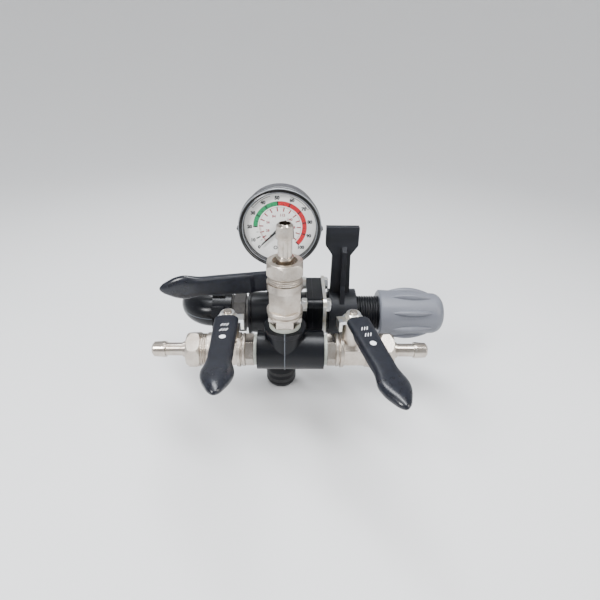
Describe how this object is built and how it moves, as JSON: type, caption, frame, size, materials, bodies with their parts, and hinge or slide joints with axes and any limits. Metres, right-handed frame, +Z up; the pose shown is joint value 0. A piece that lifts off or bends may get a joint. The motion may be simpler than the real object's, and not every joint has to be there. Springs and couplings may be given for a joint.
{
  "type": "sprayer pressure control unit",
  "caption": "Spring-loaded pressure regulator with a gauge, a bypass lever and a manifold of lever ball valves with hose tails, for a field sprayer.",
  "frame": {"origin": "on the inlet spigot's axis, at the shoulder that the socket meets", "axes": "+X runs along the regulator to its knob, +Y is the back, +Z is up, away from the spigot"},
  "size_m": [0.2523, 0.1977, 0.1983],
  "materials": {
    "black_nylon": "moulded glass-filled nylon, satin",
    "grey_plastic": "moulded grey plastic, satin",
    "adapter_black": "moulded plastic, satin",
    "nickel_brass": "nickel-plated brass, machined and cast faces",
    "chromed_ball": "polished chrome",
    "brass": "machined brass",
    "zinc_steel": "zinc-plated steel",
    "lever_grip": "black moulded plastic, semi-gloss",
    "stainless": "machined stainless steel",
    "spring_steel": "drawn spring steel",
    "rubber": "moulded rubber",
    "ptfe": "white sealing plastic",
    "fibre_gasket": "pressed fibre",
    "gauge_black": "black enamelled steel",
    "gauge_lens": "clear flat lens",
    "dial_white": "white printed dial",
    "pointer_black": "black painted aluminium"
  },
  "bodies": {
    "housing": {"ball_seats": "ptfe", "bonnet": "black_nylon", "bourdon_tube": "brass", "clamp_plate": "zinc_steel", "diaphragm": "rubber", "elbow": "black_nylon", "elbow_gasket": "rubber", "flange_bolts": "zinc_steel", "flange_nuts": "zinc_steel", "gauge_bezel": "gauge_black", "gauge_case": "gauge_black", "gauge_dial": "dial_white", "gauge_gasket": "fibre_gasket", "gauge_lens": "gauge_lens", "gauge_movement": "brass", "gauge_socket": "brass", "hex_adapter": "adapter_black", "left_hose_tail": "nickel_brass", "left_nipple": "nickel_brass", "left_valve_body": "nickel_brass", "main_spring": "spring_steel", "nipple_gaskets": "ptfe", "regulator_seat": "stainless", "retaining_ring": "stainless", "right_hose_tail": "nickel_brass", "right_nipple": "nickel_brass", "right_valve_body": "nickel_brass", "spigot_rings": "rubber", "stem_seals": "ptfe", "top_hose_tail": "nickel_brass", "top_nipple": "nickel_brass", "top_valve_body": "nickel_brass", "union_gaskets": "rubber", "union_nuts": "nickel_brass", "union_ring_nut": "black_nylon", "valve_body": "black_nylon"},
    "left_lever": {"left_ball": "chromed_ball", "left_stem": "brass", "left_lever_plate": "zinc_steel", "left_grip": "lever_grip", "left_lever_nut": "zinc_steel"},
    "right_lever": {"right_ball": "chromed_ball", "right_stem": "brass", "right_lever_plate": "zinc_steel", "right_grip": "lever_grip", "right_lever_nut": "zinc_steel"},
    "top_lever": {"top_ball": "chromed_ball", "top_stem": "brass", "top_lever_plate": "zinc_steel", "top_grip": "lever_grip", "top_lever_nut": "zinc_steel"},
    "bypass_lever": {"bypass_lever": "black_nylon"},
    "sleeve": {"spring_sleeve": "black_nylon", "cam_pins": "stainless"},
    "thrust": {"thrust_plate": "stainless"},
    "knob": {"knob": "grey_plastic"},
    "poppet": {"poppet": "brass", "spring_plate": "stainless"},
    "pointer": {"gauge_pointer": "pointer_black"}
  },
  "joints": [
    {"name": "left_lever_turn", "type": "hinge", "parent": "housing", "child": "left_lever", "pos_m": [-0.0404, -0.052, 0.0465], "axis": [0, 0, 1], "range_deg": [-90, 0]},
    {"name": "right_lever_turn", "type": "hinge", "parent": "housing", "child": "right_lever", "pos_m": [0.059, -0.052, 0.0465], "axis": [0, 0, 1], "range_deg": [-12, 78]},
    {"name": "top_lever_turn", "type": "hinge", "parent": "housing", "child": "top_lever", "pos_m": [0.0048, -0.052, 0.0933], "axis": [0, 1, 0], "range_deg": [0, 90]},
    {"name": "bypass_lever_turn", "type": "hinge", "parent": "housing", "child": "bypass_lever", "pos_m": [0.053, 0, 0.051], "axis": [1, 0, 0], "range_deg": [-90, 0]},
    {"name": "sleeve_slide", "type": "slide", "parent": "housing", "child": "sleeve", "axis": [1, 0, 0], "range_m": [0, 0.005], "deforming": ["main_spring"]},
    {"name": "thrust_travel", "type": "slide", "parent": "sleeve", "child": "thrust", "axis": [1, 0, 0], "range_m": [-0.012, 0], "deforming": ["main_spring"]},
    {"name": "knob_turn", "type": "hinge", "parent": "thrust", "child": "knob", "pos_m": [0.1, 0, 0.051], "axis": [1, 0, 0], "range_deg": [-1800, 0]},
    {"name": "poppet_lift", "type": "slide", "parent": "housing", "child": "poppet", "axis": [1, 0, 0], "range_m": [0, 0.0025], "stiffness_N_per_m": 2500, "deforming": ["diaphragm", "main_spring"]},
    {"name": "pointer_turn", "type": "hinge", "parent": "housing", "child": "pointer", "pos_m": [0, 0, 0.1358], "axis": [0, 1, 0], "range_deg": [0, 270], "stiffness_Nm_per_rad": 0.0005}
  ],
  "couplings": [
    {"joint": "sleeve_slide", "follows": "bypass_lever_turn", "m_per_rad": -0.0031831},
    {"joint": "thrust_travel", "follows": "knob_turn", "m_per_rad": 0.00038197}
  ]
}
